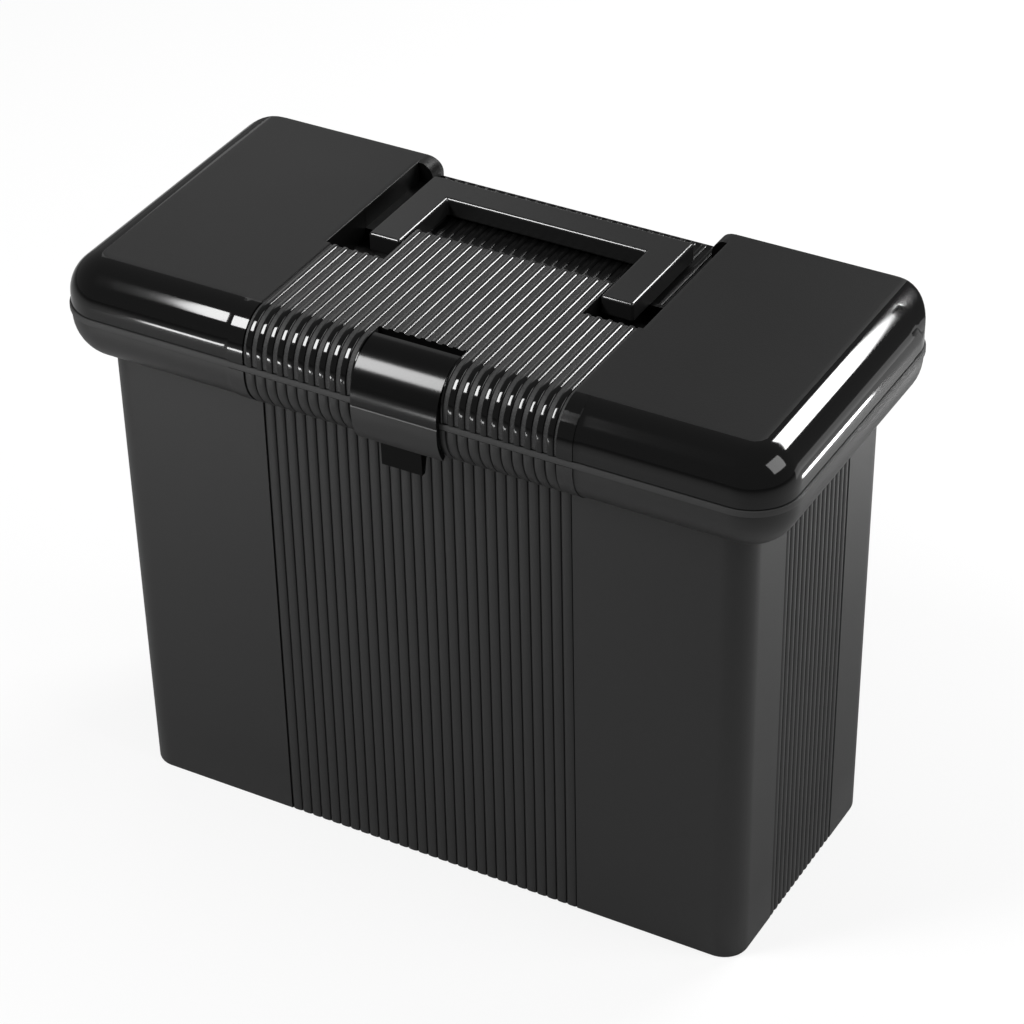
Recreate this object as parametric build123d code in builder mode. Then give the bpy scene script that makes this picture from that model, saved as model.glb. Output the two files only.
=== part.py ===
"""Portable file box: a deep tub for hanging folders with a hinged, latched lid and a folding handle.

Frame: millimetres, +Z up, X along the width, -Y to the front where the latch is.
The origin is the centre of the footprint, on the surface that the box stands on.
"""
from build123d import *
from math import cos, radians, sin, tan
import os

os.makedirs("parts", exist_ok=True)

# ---------------------------------------------------------------- driving dimensions
overall_width = 355.6          # over the bead round the tub's mouth
body_depth = 165.1             # over the same bead, front to back
overall_height = 279.4
overall_depth = 170.6          # over the latch in front and the hinge barrels behind
parting_z = 256.6              # plane where the lid meets the tub

skin = 2.4                     # moulded wall thickness
hollow_chamfer = 14.0          # inside the rolled rim, and a smaller one inside the lid
lid_chamfer = 10.5
bead_proud = 0.8               # bead at the mouth, beyond the rim and the lid
bead_height = 3.0
rim_half_x = overall_width / 2 - bead_proud
rim_half_y = body_depth / 2 - bead_proud
rim_corner = 22.0              # plan radius of the rim's and lid's corners

# tub walls
base_half_x = 157.0
base_half_y = 67.3
wall_corner = 12.0
wall_draft = 0.478             # degrees, walls lean out as they rise
floor_thickness = 3.0

# rim of the tub: a deep rolled flange that curves back in to the walls
rim_roll = rim_corner
rim_straight = 5.2
roll_axis_z = parting_z - rim_straight
roll_axis_y = -(rim_half_y - rim_roll)
rim_bottom_z = roll_axis_z - rim_roll

# rails that the hooks of hanging folders ride on
rail_thickness = 2.6
rail_length = 108.0
rail_top_z = 246.5

# lid
lid_height = overall_height - parting_z
lid_roll = 18.0
lid_roll_axis_y = -(rim_half_y - lid_roll)
lid_roll_axis_z = overall_height - lid_roll
back_edge_radius = 2.6
locating_lip_depth = 2.6
locating_lip_thickness = 1.6
fit_gap = 0.4                  # clearance where one moulding nests in another

# reeding: rows of ribs with their crests flush with the wall
reed_pitch = 5.25
reed_count = 29
reed_depth = 0.8
reed_crest = 0.38              # share of the pitch that stays level
end_reed_pitch = 4.5
end_reed_count = 14
panel_half_x = 84.0            # raised panel that carries the reeds over the rim and the lid
panel_rise = bead_proud

# handle and the well that it folds into
handle_half_x = 66.0
arm_width = 16.0
bar_width = 16.0
handle_front_y = 6.5
handle_back_y = 65.0
handle_thickness = 9.4
handle_edge = 0.7
handle_pivot_y = 13.5
handle_pivot_z = overall_height - handle_thickness / 2
handle_pin_radius = 2.0
handle_pin_reach = 9.0         # depth of the pin in each arm
well_half_x = 78.5
well_front_y = -8.5
well_depth = 10.0
well_back_y = 72.0
arm_pit_depth = 16.0           # deeper ends where the arms swing
arm_pit_back_y = 24.0
valley_half_x = 71.0           # open back of the well, between rounded shoulders
shoulder_radius = well_half_x - valley_half_x
pad_half_x = handle_half_x - arm_width - 0.7
pad_back_y = 19.5

# latch
latch_half_x = 21.0
latch_skin = 2.4
latch_front_y = -overall_depth / 2
latch_roll_axis_y = lid_roll_axis_y
latch_roll = latch_roll_axis_y - latch_front_y
latch_top_z = overall_height - 0.4
latch_roll_axis_z = latch_top_z - latch_roll
latch_pivot_y = -63.2
latch_pivot_z = 274.9
latch_barrel_radius = 3.4
latch_pin_radius = 1.5
latch_pocket_radius = 4.7
latch_hook_angle = 36.0        # degrees that the hook wraps under the rim
catch_half_x = latch_half_x - 3.0
tab_half_x = 10.0
tab_bottom_z = 225.0

# back hinges
hinge_x = 112.0
hinge_axis_y = 82.0
hinge_axis_z = parting_z
hinge_barrel_radius = overall_depth / 2 - hinge_axis_y
hinge_pin_radius = 1.6
lid_knuckle_half = 6.0
tub_knuckle_reach = 16.5
knuckle_gap = 0.5
running_gap = 0.05             # radial clearance of a pin in a turning bore


def reed_comb(pitch, count, surface):
    """Sketch, in the current plane, of the grooves that leave a reeded band of ribs.

    The band runs along the sketch's X, its rib crests lie on y = surface and its
    outside is towards -y.
    """
    outside = 0.3
    slope = pitch * (1 - reed_crest) / 2 / reed_depth
    mouth = slope * (reed_depth + outside)
    with BuildSketch(mode=Mode.PRIVATE) as comb:
        with Locations((0, surface)):
            with GridLocations(pitch, 1, count + 1, 1):
                Polygon((-mouth, -outside), (mouth, -outside), (0, reed_depth), align=None)
    return comb.sketch


# ---------------------------------------------------------------- tub
wall_top_z = rim_bottom_z + 8.0
lean = tan(radians(wall_draft))


def leaning_block(inset, bottom_z):
    """Block with the walls' lean and rounded corners, set in from the tub's outside."""
    with BuildPart() as block:
        with BuildSketch(Plane.XY.offset(bottom_z)):
            Rectangle(2 * (base_half_x - inset), 2 * (base_half_y - inset))
        extrude(amount=wall_top_z)
        sides = block.faces().filter_by(Axis.Z, reverse=True)
        draft(sides, neutral_plane=Plane.XY.offset(bottom_z), angle=-wall_draft)
        fillet(block.edges().group_by(Axis.Z)[1], radius=wall_corner - inset)
    return block.part


with BuildPart() as walls:
    add(leaning_block(0, 0))
    for facing in (0, 90, 180, 270):
        outward = Vector(1, 0, 0).rotate(Axis.Z, facing)
        on_end = facing % 180 == 0
        wall_foot = outward * (base_half_x if on_end else base_half_y)
        along = outward.rotate(Axis.Z, 90)
        with BuildSketch(Plane(origin=wall_foot, x_dir=along, z_dir=outward * lean + Vector(0, 0, 1))):
            if on_end:
                add(reed_comb(end_reed_pitch, end_reed_count, 0))
            else:
                add(reed_comb(reed_pitch, reed_count, 0))
        extrude(amount=rim_bottom_z - 0.5, both=True, mode=Mode.SUBTRACT)



def rolled_panel(axis_y, axis_z, radius, end_z):
    """Raised panel, seen from the side, that follows a roll and runs up or down to end_z."""
    front_y = axis_y - radius
    turned = 1 if end_z < axis_z else -1
    with BuildSketch(mode=Mode.PRIVATE) as profile:
        with BuildLine():
            Polyline((front_y, axis_z), (front_y, end_z), (axis_y, end_z), (axis_y, axis_z + turned * radius))
            CenterArc((axis_y, axis_z), radius, turned * 90, turned * 90)
        make_face()
    return profile.sketch


def extrude_across(sketch, half_width, centre_x=0.0, mode=Mode.ADD):
    """Extrude a side-view sketch to both sides of an upright plane at centre_x."""
    with BuildSketch(Plane.YZ.offset(centre_x)) as section:
        add(sketch)
    extrude(section.sketch, amount=half_width, both=True, mode=mode)


# rolled rim, with the front band of reeds carried over it on a raised panel
with BuildPart() as rim:
    with BuildSketch(Plane.XY.offset(rim_bottom_z)):
        RectangleRounded(2 * rim_half_x, 2 * rim_half_y, rim_corner)
    extrude(amount=parting_z - rim_bottom_z)
    fillet(rim.edges().group_by(Axis.Z)[0], radius=rim_roll)
    panel_axis_y = roll_axis_y - panel_rise
    extrude_across(rolled_panel(panel_axis_y, roll_axis_z, rim_roll, parting_z), panel_half_x)
    with BuildSketch(Plane.XY.offset(roll_axis_z)) as rim_comb:
        add(reed_comb(reed_pitch, reed_count, panel_axis_y - rim_roll))
    extrude(rim_comb.sketch, amount=rim_straight, mode=Mode.SUBTRACT)
    roll_axis = Axis((0, panel_axis_y, roll_axis_z), (1, 0, 0))
    revolve(rim_comb.sketch, axis=roll_axis, revolution_arc=80, mode=Mode.SUBTRACT)
    # recess that the latch's catch drops into, under the bead
    with Locations((0, panel_axis_y - rim_roll, parting_z - bead_height)):
        Box(2 * catch_half_x + 1, 2 * panel_rise, 4.5, align=(Align.CENTER, Align.CENTER, Align.MAX),
            mode=Mode.SUBTRACT)

# everything inside the rim's skin; the walls' inside is a leaning block
with BuildPart() as rim_hollow:
    with BuildSketch(Plane.XY.offset(rim_bottom_z + skin)):
        RectangleRounded(2 * (rim_half_x - skin), 2 * (rim_half_y - skin), rim_corner - skin)
    extrude(amount=parting_z - rim_bottom_z)
    chamfer(rim_hollow.edges().group_by(Axis.Z)[0], length=hollow_chamfer)


def hinge_profile(web_height, side):
    """Sketch of a hinge knuckle, seen along the pin, with its web running up or down the back."""
    root_y = rim_half_y - skin
    with BuildSketch(mode=Mode.PRIVATE) as profile:
        with Locations((hinge_axis_y, hinge_axis_z)):
            Circle(hinge_barrel_radius)
        with BuildLine():
            Polyline(
                (root_y, hinge_axis_z),
                (hinge_axis_y + hinge_barrel_radius, hinge_axis_z),
                (hinge_axis_y + hinge_barrel_radius, hinge_axis_z + side * web_height / 4),
                (rim_half_y, hinge_axis_z + side * web_height),
                (root_y, hinge_axis_z + side * web_height),
                close=True,
            )
        make_face()
    return profile.sketch


with BuildPart() as tub:
    add(walls.part)
    add(rim.part)
    with BuildSketch(Plane.XY.offset(parting_z - bead_height)):
        RectangleRounded(overall_width, body_depth, rim_corner + bead_proud)
    extrude(amount=bead_height)
    add(leaning_block(skin, floor_thickness), mode=Mode.SUBTRACT)
    add(rim_hollow.part, mode=Mode.SUBTRACT)
    rail_bottom_z = rim_bottom_z + skin / 2
    with BuildSketch(Plane.XY.offset(rail_bottom_z)):
        with GridLocations(2 * (base_half_x + lean * rim_bottom_z) - skin, 0, 2, 1):
            Rectangle(rail_thickness, rail_length)
    extrude(amount=rail_top_z - rail_bottom_z)
    for station in (-hinge_x, hinge_x):
        for hand in (-1, 1):
            knuckle_x = station + hand * (tub_knuckle_reach + lid_knuckle_half + knuckle_gap) / 2
            with BuildSketch(Plane.YZ.offset(knuckle_x)):
                add(hinge_profile(11.0, -1))
            extrude(amount=(tub_knuckle_reach - lid_knuckle_half - knuckle_gap) / 2, both=True)
        with BuildSketch(Plane.YZ.offset(station)):
            with Locations((hinge_axis_y, hinge_axis_z)):
                Circle(hinge_barrel_radius + knuckle_gap)
        extrude(amount=lid_knuckle_half + knuckle_gap, both=True, mode=Mode.SUBTRACT)
        with BuildSketch(Plane.YZ.offset(station)):
            with Locations((hinge_axis_y, hinge_axis_z)):
                Circle(hinge_pin_radius)
        extrude(amount=tub_knuckle_reach, both=True, mode=Mode.SUBTRACT)

# ---------------------------------------------------------------- lid
lid_bottom_z = parting_z + 0.2


def lid_form(inset, hollow=False):
    """Solid form of the lid's outside, or of its hollow when inset by the skin.

    The roll runs along the front and both ends and straight out of the back face.
    """
    run_out = 40.0
    width = 2 * (rim_half_x - inset)
    depth = 2 * (rim_half_y - inset)
    corner = rim_corner - inset
    with BuildPart() as form:
        with BuildSketch(Plane.XY.offset(lid_bottom_z - inset)):
            with Locations((0, run_out / 2)):
                RectangleRounded(width, depth + run_out, corner)
        extrude(amount=overall_height - lid_bottom_z)
        back_y = rim_half_y - inset + run_out / 2
        rolled = form.edges().group_by(Axis.Z)[-1].filter_by(lambda edge: edge.center().Y < back_y)
        if hollow:
            chamfer(rolled, length=lid_chamfer)
        else:
            fillet(rolled, radius=lid_roll)
        with BuildSketch(Plane.XY.offset(lid_bottom_z - inset)):
            RectangleRounded(width + 0.1, depth, corner)
        extrude(amount=lid_height, mode=Mode.INTERSECT)
    return form.part


def top_comb(count, y, z):
    """Sketch of the cuts between reeds on an upward face, in the upright plane at y."""
    upright = Plane(origin=(0, y, z), x_dir=(-1, 0, 0), z_dir=(0, -1, 0))
    with BuildSketch(upright, mode=Mode.PRIVATE) as comb:
        add(reed_comb(reed_pitch, count, 0))
    return comb.sketch


def well_outline(grow):
    """Sketch of the handle's well round the centre pad, grown by a wall thickness."""
    with BuildSketch(mode=Mode.PRIVATE) as outline:
        with Locations((0, (well_front_y + well_back_y) / 2)):
            Rectangle(2 * (well_half_x + grow), well_back_y - well_front_y + 2 * grow)
        with Locations((0, well_front_y - 1 + (pad_back_y - well_front_y + 1 - grow) / 2)):
            Rectangle(2 * (pad_half_x - grow), pad_back_y - well_front_y + 1 - grow, mode=Mode.SUBTRACT)
    return outline.sketch


def pit_outline(grow):
    """Sketch of the two deeper pits where the arms' ends swing, grown by a wall thickness."""
    inner_x = pad_half_x - grow
    outer_x = well_half_x + grow
    with BuildSketch(mode=Mode.PRIVATE) as outline:
        with Locations((0, (well_front_y + arm_pit_back_y) / 2)):
            with GridLocations(inner_x + outer_x, 1, 2, 1):
                Rectangle(outer_x - inner_x, arm_pit_back_y - well_front_y + 2 * grow)
    return outline.sketch


def latch_pocket_profile(grow):
    """Sketch, seen from the side, of the lid's front that the latch lies over, grown inwards."""
    edge_y = latch_pivot_y + latch_pocket_radius + grow
    with BuildSketch(mode=Mode.PRIVATE) as profile:
        with BuildLine():
            Polyline(
                (latch_front_y, lid_bottom_z - 5),
                (latch_front_y, overall_height + 1),
                (latch_roll_axis_y, overall_height + 1),
                (latch_roll_axis_y, lid_bottom_z - 5),
                close=True,
            )
        make_face()
        with Locations((latch_roll_axis_y, latch_roll_axis_z)):
            Circle(latch_roll - latch_skin - fit_gap - grow, mode=Mode.SUBTRACT)
        with BuildLine():
            Polyline(
                (latch_roll_axis_y, latch_pivot_z),
                (latch_roll_axis_y, overall_height + 1),
                (edge_y, overall_height + 1),
                (edge_y, latch_pivot_z),
                close=True,
            )
        make_face()
        with Locations((latch_pivot_y, latch_pivot_z)):
            Circle(latch_pocket_radius + grow)
    return profile.sketch


well_floor_z = overall_height - well_depth
pit_floor_z = overall_height - arm_pit_depth
latch_slot_half_x = latch_half_x + 0.5
latch_cheek = 4.0
handle_boss_half = 4.5
handle_boss_length = 6.0

# space under the lid's skin, drawn in round the well, the latch pocket and the handle's bosses
with BuildPart() as lid_void:
    add(lid_form(skin, hollow=True))
    well_depth_below = well_depth + skin
    with BuildSketch(Plane.XY.offset(well_floor_z - skin)):
        add(well_outline(skin))
        with Locations((0, (well_back_y + rim_half_y) / 2)):
            Rectangle(2 * (valley_half_x + 0.65 * shoulder_radius), rim_half_y - well_back_y + 2)
    extrude(amount=well_depth_below, mode=Mode.SUBTRACT)
    with BuildSketch(Plane.XY.offset(pit_floor_z - skin)):
        add(pit_outline(skin))
    extrude(amount=arm_pit_depth, mode=Mode.SUBTRACT)
    extrude_across(latch_pocket_profile(2.0), latch_slot_half_x + latch_cheek, mode=Mode.SUBTRACT)
    for hand in (-1, 1):
        with BuildSketch(Plane.YZ.offset(hand * (pad_half_x - skin - handle_boss_length / 2))):
            with Locations((handle_pivot_y, handle_pivot_z)):
                Rectangle(2 * handle_boss_half, 2 * handle_boss_half)
        extrude(amount=handle_boss_length / 2 + 0.5, both=True, mode=Mode.SUBTRACT)

with BuildPart() as lid:
    add(lid_form(0))
    back_top_edge = lid.edges().filter_by(Axis.X).group_by(Axis.Z)[-1].sort_by(Axis.Y)[-1]
    fillet(back_top_edge, radius=back_edge_radius)

    # reeded band: up the front and over the roll on a raised panel, then back across the top and the pad
    lid_panel_axis_y = lid_roll_axis_y - panel_rise
    extrude_across(rolled_panel(lid_panel_axis_y, lid_roll_axis_z, lid_roll, lid_bottom_z), panel_half_x)
    with BuildSketch(Plane.XY.offset(lid_roll_axis_z)) as lid_front_comb:
        add(reed_comb(reed_pitch, reed_count, lid_panel_axis_y - lid_roll))
    extrude(lid_front_comb.sketch, amount=lid_bottom_z - lid_roll_axis_z, mode=Mode.SUBTRACT)
    lid_roll_axis = Axis((0, lid_panel_axis_y, lid_roll_axis_z), (1, 0, 0))
    crest_comb = top_comb(reed_count, lid_panel_axis_y, overall_height)
    revolve(crest_comb, axis=lid_roll_axis, revolution_arc=90, mode=Mode.SUBTRACT)
    extrude(crest_comb, amount=lid_panel_axis_y - pad_back_y, mode=Mode.SUBTRACT)

    # well and pits for the handle, with the valley that opens through the back
    with BuildSketch(Plane.XY.offset(well_floor_z)):
        add(well_outline(0))
    extrude(amount=well_depth + 1, mode=Mode.SUBTRACT)
    with BuildSketch(Plane.XY.offset(pit_floor_z)):
        add(pit_outline(0))
    extrude(amount=arm_pit_depth + 1, mode=Mode.SUBTRACT)
    with BuildSketch(Plane(origin=(0, well_back_y - 1, 0), x_dir=(1, 0, 0), z_dir=(0, -1, 0))):
        with BuildLine():
            shoulder_z = overall_height - shoulder_radius
            floor_right = (valley_half_x, well_floor_z)
            Polyline((-valley_half_x, shoulder_z), (-valley_half_x, well_floor_z), floor_right,
                     (valley_half_x, shoulder_z))
            CenterArc((well_half_x, shoulder_z), shoulder_radius, 180, -90)
            Polyline((well_half_x, overall_height), (well_half_x, overall_height + 1),
                     (-well_half_x, overall_height + 1), (-well_half_x, overall_height))
            CenterArc((-well_half_x, shoulder_z), shoulder_radius, 90, -90)
        make_face()
    extrude(amount=-(rim_half_y - well_back_y + 2), mode=Mode.SUBTRACT)
    floor_comb = top_comb(reed_count - 2, arm_pit_back_y + skin, well_floor_z)
    extrude(floor_comb, amount=-(rim_half_y - arm_pit_back_y), mode=Mode.SUBTRACT)

    extrude_across(latch_pocket_profile(0), latch_slot_half_x, mode=Mode.SUBTRACT)
    add(lid_void.part, mode=Mode.SUBTRACT)

    # lip that locates the lid inside the tub's rim
    lip_inset = skin + fit_gap
    with BuildSketch(Plane.XY.offset(parting_z - locating_lip_depth)) as lip:
        RectangleRounded(2 * (rim_half_x - lip_inset), 2 * (rim_half_y - lip_inset), rim_corner - lip_inset)
        offset(amount=-locating_lip_thickness, mode=Mode.SUBTRACT)
    extrude(amount=locating_lip_depth + 1.5)
    with BuildSketch(Plane.XY.offset(lid_bottom_z)):
        RectangleRounded(2 * (rim_half_x - skin / 2), 2 * (rim_half_y - skin / 2), rim_corner - skin / 2)
        offset(amount=-skin / 2 - fit_gap - locating_lip_thickness, mode=Mode.SUBTRACT)
    extrude(amount=1.3)

    # bores of the pressed pins
    for hand in (-1, 1):
        with BuildSketch(Plane.YZ.offset(hand * pad_half_x)):
            with Locations((handle_pivot_y, handle_pivot_z)):
                Circle(handle_pin_radius)
        extrude(amount=skin + handle_boss_length - 1, both=True, mode=Mode.SUBTRACT)
    with BuildSketch(Plane.YZ):
        with Locations((latch_pivot_y, latch_pivot_z)):
            Circle(latch_pin_radius)
    extrude(amount=latch_slot_half_x + latch_cheek - 0.5, both=True, mode=Mode.SUBTRACT)

    # hinge knuckles, between the tub's
    for station in (-hinge_x, hinge_x):
        extrude_across(hinge_profile(11.0, 1), lid_knuckle_half, station)
        for hand in (-1, 1):
            clear_x = station + hand * (tub_knuckle_reach + lid_knuckle_half + knuckle_gap) / 2
            clear_half = (tub_knuckle_reach - lid_knuckle_half + knuckle_gap) / 2
            with BuildSketch(Plane.YZ.offset(clear_x)):
                with Locations((hinge_axis_y, hinge_axis_z)):
                    Circle(hinge_barrel_radius + knuckle_gap)
            extrude(amount=clear_half, both=True, mode=Mode.SUBTRACT)
        with BuildSketch(Plane.YZ.offset(station)):
            with Locations((hinge_axis_y, hinge_axis_z)):
                Circle(hinge_pin_radius + running_gap)
        extrude(amount=lid_knuckle_half + 1, both=True, mode=Mode.SUBTRACT)

# ---------------------------------------------------------------- handle
with BuildPart() as handle:
    handle_bottom_z = overall_height - handle_thickness
    handle_middle_y = (handle_front_y + handle_back_y) / 2
    with BuildSketch(Plane.XY.offset(handle_bottom_z)) as grip_outline:
        with Locations((0, handle_middle_y)):
            Rectangle(2 * handle_half_x, handle_back_y - handle_front_y)
        with Locations((0, handle_middle_y - bar_width)):
            Rectangle(2 * (handle_half_x - arm_width), handle_back_y - handle_front_y, mode=Mode.SUBTRACT)
        fillet(grip_outline.vertices().filter_by(lambda corner: abs(corner.X) > handle_half_x - 1), radius=1.6)
    extrude(amount=handle_thickness)
    chamfer(handle.edges().group_by(Axis.Z)[-1], length=handle_edge)
    # cored out from below, in bays between thin webs, except round the pivots
    core_depth = handle_thickness - skin
    bar_bays = 4
    bar_bay_pitch = (2 * handle_half_x - skin) / bar_bays
    arm_bay_front = handle_pivot_y + 8.0
    arm_bay_back = handle_back_y - bar_width
    with BuildSketch(Plane.XY.offset(handle_bottom_z)):
        with Locations((0, handle_back_y - bar_width / 2)):
            with GridLocations(bar_bay_pitch, 1, bar_bays, 1):
                Rectangle(bar_bay_pitch - skin, bar_width - 2 * skin)
        with Locations((0, (arm_bay_front + arm_bay_back) / 2)):
            with GridLocations(2 * handle_half_x - arm_width, 1, 2, 1):
                Rectangle(arm_width - 2 * skin, arm_bay_back - arm_bay_front)
    extrude(amount=core_depth, mode=Mode.SUBTRACT)
    for hand in (-1, 1):
        with BuildSketch(Plane.YZ.offset(hand * (handle_half_x - arm_width))):
            with Locations((handle_pivot_y, handle_pivot_z)):
                Circle(handle_pin_radius + running_gap)
        extrude(amount=handle_pin_reach + 0.5, both=True, mode=Mode.SUBTRACT)

# ---------------------------------------------------------------- latch
with BuildPart() as latch:
    hook_roll = roll_axis_y - latch_front_y
    hook_end = radians(latch_hook_angle)
    inner_roll = latch_roll - latch_skin
    inner_hook = hook_roll - latch_skin
    with BuildSketch(Plane.YZ) as latch_profile:
        with BuildLine():
            Polyline((latch_roll_axis_y, latch_top_z - latch_skin), (latch_pivot_y, latch_top_z - latch_skin),
                     (latch_pivot_y, latch_top_z), (latch_roll_axis_y, latch_top_z))
            CenterArc((latch_roll_axis_y, latch_roll_axis_z), latch_roll, 90, 90)
            Line((latch_front_y, latch_roll_axis_z), (latch_front_y, roll_axis_z))
            CenterArc((roll_axis_y, roll_axis_z), hook_roll, 180, latch_hook_angle)
            Line((roll_axis_y - hook_roll * cos(hook_end), roll_axis_z - hook_roll * sin(hook_end)),
                 (roll_axis_y - inner_hook * cos(hook_end), roll_axis_z - inner_hook * sin(hook_end)))
            CenterArc((roll_axis_y, roll_axis_z), inner_hook, 180 + latch_hook_angle, -latch_hook_angle)
            Line((latch_front_y + latch_skin, roll_axis_z), (latch_front_y + latch_skin, latch_roll_axis_z))
            CenterArc((latch_roll_axis_y, latch_roll_axis_z), inner_roll, 180, -90)
        make_face()
        with Locations((latch_pivot_y, latch_pivot_z)):
            Circle(latch_barrel_radius)
            Circle(latch_pin_radius + running_gap, mode=Mode.SUBTRACT)
        # crease across the front where the hasp steps down over the mouth
        crease_z = parting_z - 2.0
        with BuildLine():
            Polyline((latch_front_y - 0.1, crease_z + 0.5), (latch_front_y + 0.6, crease_z),
                     (latch_front_y - 0.1, crease_z - 0.5), close=True)
        make_face(mode=Mode.SUBTRACT)
    extrude(amount=latch_half_x, both=True)

    # ridge that snaps under the bead
    bead_bottom_z = parting_z - bead_height
    ridge_y = -(body_depth / 2 - 0.35)
    with BuildSketch(Plane.YZ):
        with BuildLine():
            Polyline((latch_front_y + 1, bead_bottom_z - 0.6), (ridge_y, bead_bottom_z - 1.0),
                     (ridge_y, bead_bottom_z - 2.0), (latch_front_y + 1, bead_bottom_z - 4.5), close=True)
        make_face()
    extrude(amount=catch_half_x, both=True)

    # pull tab under the hook
    with BuildSketch(Plane.YZ):
        with BuildLine():
            hook_tip_y = roll_axis_y - (hook_roll - 1.2) * cos(hook_end)
            hook_tip_z = roll_axis_z - (hook_roll - 1.2) * sin(hook_end)
            Polyline((hook_tip_y - 0.7, hook_tip_z + 1.0), (hook_tip_y - 0.2, tab_bottom_z),
                     (hook_tip_y + 2.2, tab_bottom_z), (hook_tip_y + 4.2, hook_tip_z - 3.6),
                     (hook_tip_y + 0.9, hook_tip_z + 0.9), close=True)
        make_face()
    extrude(amount=tab_half_x, both=True)


# ---------------------------------------------------------------- pins
def cross_pin(radius, start_x, end_x, y, z):
    """Round pin that lies across the box, cut square at both ends."""
    with BuildPart() as pin:
        with BuildSketch(Plane.YZ.offset(start_x)):
            with Locations((y, z)):
                Circle(radius)
        extrude(amount=end_x - start_x)
    return pin.part


hinge_pin_half = tub_knuckle_reach - 0.4
latch_pin_half = latch_slot_half_x + latch_cheek - 0.7
handle_pin_inner = pad_half_x - skin - handle_boss_length + 1.2
handle_pin_outer = handle_half_x - arm_width + handle_pin_reach

parts = {
    "tub": tub.part,
    "lid": lid.part,
    "handle": handle.part,
    "latch": latch.part,
    "left_hinge_pin": cross_pin(
        hinge_pin_radius, -hinge_x - hinge_pin_half, -hinge_x + hinge_pin_half, hinge_axis_y, hinge_axis_z),
    "right_hinge_pin": cross_pin(
        hinge_pin_radius, hinge_x - hinge_pin_half, hinge_x + hinge_pin_half, hinge_axis_y, hinge_axis_z),
    "latch_pin": cross_pin(latch_pin_radius, -latch_pin_half, latch_pin_half, latch_pivot_y, latch_pivot_z),
    "left_handle_pin": cross_pin(
        handle_pin_radius, -handle_pin_outer, -handle_pin_inner, handle_pivot_y, handle_pivot_z),
    "right_handle_pin": cross_pin(
        handle_pin_radius, handle_pin_inner, handle_pin_outer, handle_pivot_y, handle_pivot_z),
}
for name, solid in parts.items():
    solid.label = name
    export_step(solid, f"parts/{name}.step")
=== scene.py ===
"""Portable file box in black moulded plastic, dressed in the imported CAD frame.

Every length below is in millimetres in the CAD frame and is scaled to metres
when a mesh is made. Each sub-assembly is a class that builds its own pieces.
"""
import logging
import math
from collections.abc import Callable, Iterable
from dataclasses import dataclass, field
from enum import Enum

import bmesh
import bpy
import numpy as np
from bpy.types import Material, Mesh, NodeSocket, NodeTree, Object
from mathutils import Euler, Matrix, Vector


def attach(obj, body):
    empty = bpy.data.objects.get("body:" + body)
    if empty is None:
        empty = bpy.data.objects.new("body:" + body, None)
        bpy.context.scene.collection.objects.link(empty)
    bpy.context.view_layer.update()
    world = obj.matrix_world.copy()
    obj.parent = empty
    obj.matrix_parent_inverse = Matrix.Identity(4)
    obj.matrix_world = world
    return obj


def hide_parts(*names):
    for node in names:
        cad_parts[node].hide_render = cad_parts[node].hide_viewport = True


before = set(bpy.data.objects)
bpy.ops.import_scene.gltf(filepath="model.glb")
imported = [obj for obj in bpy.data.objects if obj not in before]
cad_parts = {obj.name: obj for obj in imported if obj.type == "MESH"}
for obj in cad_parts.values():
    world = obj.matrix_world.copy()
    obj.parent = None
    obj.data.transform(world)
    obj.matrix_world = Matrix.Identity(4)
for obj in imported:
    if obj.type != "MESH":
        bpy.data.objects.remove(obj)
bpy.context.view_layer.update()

log = logging.getLogger("file_box")

Array = np.ndarray
Point2 = tuple[float, float]
Point3 = tuple[float, float, float]

MM = 0.001
LID_TOP_Z = 279.4
LID_BOTTOM_Z = 256.8
PARTING_Z = 256.6
SKIN = 2.4
CORE_X = 155.0
CORE_Y = 59.75
RIM_CORNER = 22.0
REED_PITCH = 5.25
REED_COUNT = 29
REED_DEPTH = 0.8
BAND_HALF = REED_PITCH * REED_COUNT / 2
PANEL_PROUD = 0.8
PANEL_EDGE = [84.0, 84.1, 84.6, 85.3, 86.2, 87.2]
CORNER_STEPS = 14
RIM_ROLL_Z = 251.4
LATCH_PIVOT = (-63.2, 274.9)
HASP_ROLL_Z = 257.45
BACK_Y = 81.75
NEAR = 0.011
WALL_STEP = 0.02


class Zone(Enum):
    """Finish that a face of a moulding takes; the value is stored on the face."""

    SATIN = 0
    GLOSS = 1
    VALLEY = 2
    CREST = 3
    WELL = 4


class ReedStyle(Enum):
    """Section of a reed, in shares of the pitch."""

    BEAD = (0.29, 2.2, 0.5), (0.10, 0.17, 0.22, 0.25, 0.275, 0.29)
    CUSHION = (0.5, 4.0, 1.0), (0.16, 0.3, 0.38, 0.43, 0.465)

    def __init__(self, curve: tuple[float, float, float], half_lines: tuple[float, ...]) -> None:
        """Keep the curve's half width and two powers, and the mesh lines across half a reed."""
        self.curve = curve
        self.half_lines = half_lines


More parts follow.
